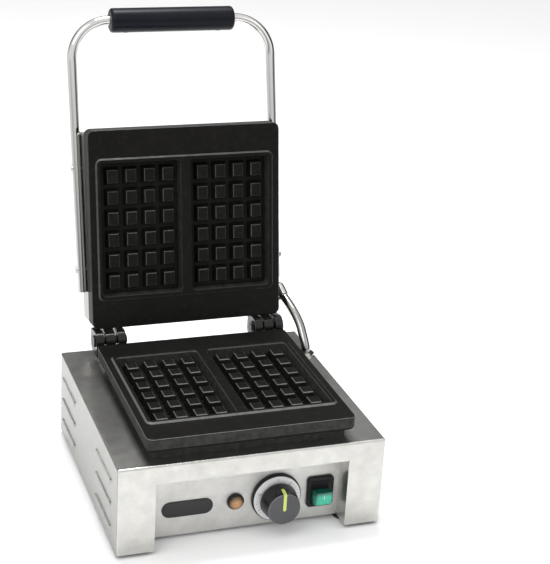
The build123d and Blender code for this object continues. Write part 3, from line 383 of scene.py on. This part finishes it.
def closed_tube(bm, loops):
    """Closed body through loops of as many points each, with a face on both ends."""
    rows = [[bm.verts.new(point) for point in loop] for loop in loops]
    for a, b in zip(rows, rows[1:]):
        for i in range(len(a)):
            j = (i + 1) % len(a)
            bm.faces.new((a[i], a[j], b[j], b[i]))
    bm.faces.new(rows[0])
    bm.faces.new(rows[-1])


def turned(name, profile, middle, steps=96):
    """Closed body of revolution about a line along Y: (radius, y) pairs from its back to its front."""
    bm = bmesh.new()
    turn = [i * math.tau / steps for i in range(steps)]
    rings = [[bm.verts.new((middle.x + radius * math.sin(a), y, middle.z + radius * math.cos(a)))
              for a in (turn if radius else [0.0])] for radius, y in profile]
    for low, high in zip(rings, rings[1:]):
        for i in range(steps):
            j = (i + 1) % steps
            corners = (low[i % len(low)], low[j % len(low)], high[j % len(high)], high[i % len(high)])
            bm.faces.new(list(dict.fromkeys(corners)))
    return smooth_mesh(name, bm)


# Hose: one smooth tube between the deck gland and the lid's elbow
hose_x, hose_y = (gland_low.x + gland_high.x) / 2, (gland_low.y + gland_high.y) / 2
route = [Vector((hose_x, hose_y, deck_z + height)) for height in hose_heights]
route += [hinge + hose_bow, hinge + hose_end]
hose_line = bpy.data.curves.new("hose_line", "CURVE")
hose_line.dimensions = "3D"
spline = hose_line.splines.new("NURBS")
spline.points.add(len(route) - 1)
for point, spot in zip(spline.points, route):
    point.co = (*spot, 1)
spline.order_u = 3
spline.use_endpoint_u = True
spline.resolution_u = 16
hose_line.bevel_depth = hose_radius
hose_line.bevel_resolution = 8
hose_line.use_fill_caps = True
tube = curve_mesh(hose_line)
tube.polygons.foreach_set("use_smooth", [True] * len(tube.polygons))
hose = piece("hose_tube", tube, "chrome", None, "hose_chrome")
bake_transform(hose)
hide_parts("conduit_hose")


def dial_marks():
    """Ticks round the scale ring: long ones at the numbers, short ones between."""
    bm = bmesh.new()
    for i in range(tick_count):
        angle = math.radians(first_number + i * tick_step)
        inner, half = short_tick if i * tick_step % number_step else long_tick
        out = Vector((math.sin(angle), 0, math.cos(angle)))
        wide = Vector((math.cos(angle), 0, -math.sin(angle)))
        corners = ((inner, -half), (tick_outer, -half), (tick_outer, half), (inner, half))
        tick = [dial + out * radius + wide * across for radius, across in corners]
        closed_tube(bm, [[point + Vector((0, depth, 0)) for point in tick] for depth in (-tick_proud, tick_sunk)])
    return smooth_mesh("dial_marks", bm)


def lettering(name, items):
    """Thin printed figures: each item is a text, its size and the matrix that puts it in place."""
    bm = bmesh.new()
    for text, size, matrix in items:
        curve = bpy.data.curves.new("figure", "FONT")
        curve.body, curve.size, curve.extrude = text, size, print_thick
        curve.align_x = curve.align_y = "CENTER"
        flat = curve_mesh(curve)
        flat.transform(matrix)
        bm.from_mesh(flat)
        bpy.data.meshes.remove(flat)
    return smooth_mesh(name, bm)


upright = Matrix.Rotation(math.radians(90), 4, "X")
figures = []
for i in range(number_count):
    angle = math.radians(first_number + i * number_step)
    spot = dial + Vector((math.sin(angle), 0, math.cos(angle))) * figure_radius
    turn = Matrix.Rotation(angle, 4, "Y")
    figures.append((str(50 * (i + 1)), figure_size, Matrix.Translation(spot) @ turn @ upright))
figures.append(("0", zero_size, Matrix.Translation(dial + Vector((0, 0, zero_radius))) @ upright))
piece("dial_marks", dial_marks(), "trim_black", "base", "print_black")
piece("dial_figures", lettering("dial_figures", figures), "trim_black", "base", "print_black")

# Scale ring that reaches the bezel's rounding
scale_back = dial_high.y
ring_profile = [(ring_inner, scale_back), (ring_inner, dial.y), (ring_outer - ring_bevel, dial.y),
                (ring_outer, dial.y + ring_bevel), (ring_outer, scale_back), (ring_inner, scale_back)]
ring = piece("dial_ring", turned("dial_ring", ring_profile, dial), "dial_silver", "base")
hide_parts("dial_scale")

# Louvres: a pale steel strip set in each slit, painted light over the slit's shade
fill_x = housing_side - louvre_sunk
fill_strips = bmesh.new()
for side in (-1, 1):
    for column in louvre_columns:
        for row in range(louvre_rows):
            spot = (side * fill_x, front_y + column, louvre_top - row * louvre_pitch)
            size = Matrix.Diagonal((*slit_fill_size, 1))
            bmesh.ops.create_cube(fill_strips, size=1, matrix=Matrix.Translation(spot) @ size)
piece("louvre_slit_fills", smooth_mesh("louvre_slit_fills", fill_strips), "stainless", "base", "pale_slit_fill")

# Knob: a cone that is widest at its skirt, with a rounded rim, as (radius, rise from its back) pairs
skirt = [(0.0, 0.0)] + [(skirt_radius - inset, rise) for inset, rise in skirt_curve]
skirt.append((skirt_radius, skirt_rise))
slope_long = knob_long - skirt_rise - rim_round
slope = [(skirt_radius - knob_taper * i / 8, skirt_rise + slope_long * i / 8) for i in range(1, 9)]
end_r, end_y = slope[-1]
round_r = knob_long - end_y
nose = [(end_r - round_r * (1 - math.cos(a)), end_y + round_r * math.sin(a))
        for a in (math.radians(v) for v in (20, 40, 60, 75, 90))]
knob_profile = [(r, knob_high.y - rise) for r, rise in skirt + slope + nose + [(0.0, knob_long)]]
knob = piece("knob_turned", turned("knob_turned", knob_profile, dial), "knob_black", "knob")
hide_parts("control_knob")


def pointer_strip(name, path, half):
    """Flat strip with round ends that follows a path of (height over the knob's axis, y) pairs."""
    points = [Vector((dial.x, y, dial.z + height)) for height, y in path]
    run = [0.0]
    for a, b in zip(points, points[1:]):
        run.append(run[-1] + (b - a).length)
    loops = []
    for i, point in enumerate(points):
        ahead = (points[min(i + 1, len(points) - 1)] - points[max(i - 1, 0)]).normalized()
        out = Vector((0, -ahead.z, ahead.y))
        near = min(run[i], run[-1] - run[i], half)
        wide = max(pointer_end_half, math.sqrt(half * half - (half - near) ** 2))
        corners = ((-1, -pointer_sunk), (-1, pointer_proud), (1, pointer_proud), (1, -pointer_sunk))
        loops.append([point + out * rise + Vector((side * wide, 0, 0)) for side, rise in corners])
    bm = bmesh.new()
    closed_tube(bm, loops)
    return smooth_mesh(name, bm)


# Pointer: over the knob's face, bent round its rim and half way back along its side
path_steps = 24
face_y = knob_high.y - knob_long
face_end = nose[-1][0]
path = [(pointer_start + (face_end - pointer_start) * i / path_steps, face_y) for i in range(path_steps)]
path += [(r, knob_high.y - rise) for r, rise in reversed(nose)]
back_r, back_y = slope[3]
for i in range(path_steps + 1):
    t = i / path_steps
    path.append((end_r + (back_r - end_r) * t, knob_high.y - (end_y + (back_y - end_y) * t)))
pointer = piece("pointer_strip", pointer_strip("pointer_strip", path, pointer_half), "pointer_green", "knob")
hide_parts("knob_pointer")

# Lamp: a low dome over the bezel
seat_y = lamp_front - dome_seat
dome = [(0.0, lamp_front + dome_sunk), (dome_radius, lamp_front + dome_sunk), (dome_radius, seat_y)]
dome += [(dome_radius * math.cos(a), seat_y - dome_rise * math.sin(a))
         for a in (math.radians(v) for v in range(8, 88, 8))]
dome.append((0.0, seat_y - dome_rise))
glass = piece("lamp_dome", turned("lamp_dome", dome, lamp, 64), "lens_amber", "base")
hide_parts("lamp_lens")


def rocker_point(y, z):
    """A point of the rocker's own section, turned to its rest and set on its pivot."""
    return rocker_pivot + Matrix.Rotation(math.radians(-rocker_tilt), 4, "X") @ Vector((0, y, z))


def rocker_bar(name, section, half, inset, round_edge):
    """Rounded bar across the rocker: its section's points are y, z and whether they draw in by the inset."""
    section = [(*rocker_point(y, z).yz, draw) for y, z, draw in section]
    bm = bmesh.new()
    closed_tube(bm, [[(rocker.x + side * (half - inset * draw), y, z) for y, z, draw in section]
                     for side in (-1, 1)])
    bmesh.ops.recalc_face_normals(bm, faces=bm.faces)
    bmesh.ops.bevel(bm, geom=list(bm.edges), offset=round_edge, segments=3, affect="EDGES", profile=0.5,
                    clamp_overlap=True)
    return smooth_mesh(name, bm)


# Switch: a thick clear lens that stands out most at the rocker's middle, and ribs on its dark half
block = [(lens_back, lens_back_top, 0), (*lens_top, 1), (*lens_low, 1), (lens_back, lens_back_low, 0)]
clear = piece("switch_block", rocker_bar("switch_block", block, lens_half, lens_inset, lens_round),
              "lens_green", "rocker")
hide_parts("switch_lens")
ribs = bmesh.new()
for z in rib_heights:
    face = -rocker_face - z * math.tan(math.radians(rocker_tilt))
    section = [(face + rib_sunk, z + rib_foot, 0), (face - rib_proud, z + rib_crest, 1),
               (face - rib_proud, z - rib_crest, 1), (face + rib_sunk, z - rib_foot, 0)]
    rib = rocker_bar("switch_rib", section, rib_long_half, rib_inset, rib_round)
    ribs.from_mesh(rib)
    bpy.data.meshes.remove(rib)
piece("switch_ribs", smooth_mesh("switch_ribs", ribs), "trim_black", "rocker")
face_top, face_low = rocker_point(*lens_top), rocker_point(*lens_low)
face_out = (face_low - face_top).cross(Vector((1, 0, 0))).normalized()
mark = face_top.lerp(face_low, mark_share) + face_out * mark_lift
mark.x = rocker.x
lie = face_out.to_track_quat("Z", "Y").to_matrix().to_4x4()
piece("switch_on_mark", lettering("switch_on_mark", [("I", mark_size, Matrix.Translation(mark) @ lie)]),
      "trim_black", "rocker", "print_white")

# Pale floor
floor_finish = Finish("floor", Roughness=0.95, Specular_IOR_Level=0.1)
speck = floor_finish.noise(6, 3)
floor_finish.feed(Base_Color=floor_finish.mix(speck, (0.94, 0.94, 0.94), (0.97, 0.97, 0.97)))
floor_half = 9
floor_mesh = bpy.data.meshes.new("floor")
floor_mesh.from_pydata([(x * floor_half, y * floor_half, 0) for x, y in ((-1, -1), (1, -1), (1, 1), (-1, 1))],
                       [], [(0, 1, 2, 3)])
floor_mesh.materials.append(floor_finish.material)
floor = bpy.data.objects.new("floor", floor_mesh)
scene.collection.objects.link(floor)


def area(name, spot, target, size, power):
    """Square soft light at a spot, turned to its target."""
    light = bpy.data.lights.new(name, "AREA")
    light.size, light.energy = size, power
    obj = bpy.data.objects.new(name, light)
    obj.location = spot
    obj.rotation_euler = (Vector(target) - Vector(spot)).to_track_quat("-Z", "Y").to_euler()
    scene.collection.objects.link(obj)


area("key", (-1.3, -1.0, 2.3), (0, 0, 0.2), 1.4, 16)
area("fill", (1.7, -1.4, 1.6), (0, 0, 0.2), 1.4, 5)
area("top", (0.05, 0.55, 2.2), (0, 0, 0.3), 0.7, 34)


class Sky(Finish):
    """The studio round the object: bright, with a dark wall behind and at the right, and a dim strip in front."""

    def __init__(self, name):
        world = bpy.data.worlds.new(name)
        world.use_nodes = True
        scene.world = world
        self.tree = world.node_tree
        self.shader = self.tree.nodes["Background"]


sky = Sky("studio")
wx, wy, wz = sky.split(sky.node("ShaderNodeTexCoord", out="Generated"))
back_wall = (wy * 1.6 - 0.1).clamp() * (1.35 - abs(wz - 0.36) * 3.2).clamp()
right_wall = (wx * 2.2 - 0.9).clamp() * (1.3 - abs(wz - 0.25) * 2.4).clamp()
strip = (wy * -1.6 - 0.1).clamp() * (1.2 - abs(wz) * 5.0).clamp()
bright = sky.mix(strip, (1, 1, 1), (0.3, 0.3, 0.3))
sky.feed(Color=sky.mix((back_wall + right_wall).clamp(), bright, (0.065, 0.065, 0.068)))
sky.shader.inputs["Strength"].default_value = 1.06
scene.view_settings.view_transform = "Standard"

# Camera at the photograph's angle
azimuth, elevation, roll = (math.radians(v) for v in (-19.16, 21.66, 2.95))
camera_place = Vector((-0.4960, -1.3427 + front_y, 0.9137))
image_height, focal_pixels, sensor = 564, 1449.52, 36
level = math.cos(elevation)
back = Vector((math.sin(azimuth) * level, -math.cos(azimuth) * level, math.sin(elevation)))
right = (-back).cross(Vector((0, 0, 1))).normalized()
up = right.cross(-back)
right, up = math.cos(roll) * right + math.sin(roll) * up, math.cos(roll) * up - math.sin(roll) * right
camera = bpy.data.objects.new("camera", bpy.data.cameras.new("camera"))
scene.collection.objects.link(camera)
camera.matrix_world = Matrix.Translation(camera_place) @ Matrix((right, up, back)).transposed().to_4x4()
camera.data.lens = sensor * focal_pixels / image_height
camera.data.sensor_width = sensor
camera.data.shift_x, camera.data.shift_y = 0.0601, -0.0358
scene.camera = camera
